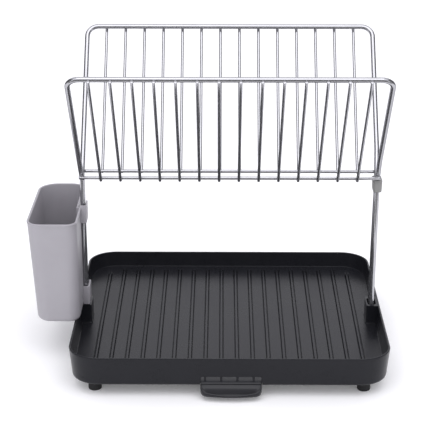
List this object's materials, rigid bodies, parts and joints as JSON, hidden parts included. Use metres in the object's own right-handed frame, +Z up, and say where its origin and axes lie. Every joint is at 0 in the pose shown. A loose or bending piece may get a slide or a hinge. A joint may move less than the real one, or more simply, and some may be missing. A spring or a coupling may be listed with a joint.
{
  "type": "dish drying rack",
  "caption": "Dish drying rack: wire frames leaning apart in a V, on legs that stand in a ribbed drip tray, with a clip-on cutlery holder and a pull-out drain spout",
  "frame": {"origin": "On the ground the feet stand on, in the middle of the whole rack's footprint, holder and spout included", "axes": "+Z is up. -Y is the front, the side with the drain spout. +X is to the right seen from the front, along the rack's length; the cutlery holder hangs on the -X side"},
  "size_m": [0.4307, 0.3438, 0.375],
  "materials": {
    "wire_steel": "bright plated, polished",
    "tray_plastic": "satin, charcoal",
    "holder_plastic": "satin, light grey",
    "collar_plastic": "satin, mid grey",
    "foot_rubber": "matt, black"
  },
  "bodies": {
    "tray_unit": {"drip_tray": "tray_plastic", "foot_front_left": "foot_rubber", "foot_front_right": "foot_rubber", "foot_rear_left": "foot_rubber", "foot_rear_right": "foot_rubber"},
    "rack": {"front_hoop": "wire_steel", "front_crossbar": "wire_steel", "front_wire_01": "wire_steel", "front_wire_02": "wire_steel", "front_wire_03": "wire_steel", "front_wire_04": "wire_steel", "front_wire_05": "wire_steel", "front_wire_06": "wire_steel", "front_wire_07": "wire_steel", "front_wire_08": "wire_steel", "front_wire_09": "wire_steel", "front_wire_10": "wire_steel", "front_wire_11": "wire_steel", "front_wire_12": "wire_steel", "front_wire_13": "wire_steel", "front_wire_14": "wire_steel", "rear_hoop": "wire_steel", "rear_crossbar": "wire_steel", "rear_wire_01": "wire_steel", "rear_wire_02": "wire_steel", "rear_wire_03": "wire_steel", "rear_wire_04": "wire_steel", "rear_wire_05": "wire_steel", "rear_wire_06": "wire_steel", "rear_wire_07": "wire_steel", "rear_wire_08": "wire_steel", "rear_wire_09": "wire_steel", "rear_wire_10": "wire_steel", "rear_wire_11": "wire_steel", "rear_wire_12": "wire_steel", "rear_wire_13": "wire_steel", "rear_wire_14": "wire_steel", "leg_collar": "collar_plastic"},
    "cutlery_holder": {"cutlery_holder": "holder_plastic"},
    "drain_spout": {"drain_spout": "tray_plastic"}
  },
  "joints": [
    {"name": "rack_lift", "type": "slide", "parent": "tray_unit", "child": "rack", "axis": [0, 0, 1], "range_m": [0, 0.15]},
    {"name": "cutlery_holder_unclip", "type": "slide", "parent": "rack", "child": "cutlery_holder", "axis": [0, -1, 0], "range_m": [0, 0.045]},
    {"name": "drain_spout_slide", "type": "slide", "parent": "tray_unit", "child": "drain_spout", "axis": [0, 1, 0], "range_m": [0, 0.012]}
  ]
}
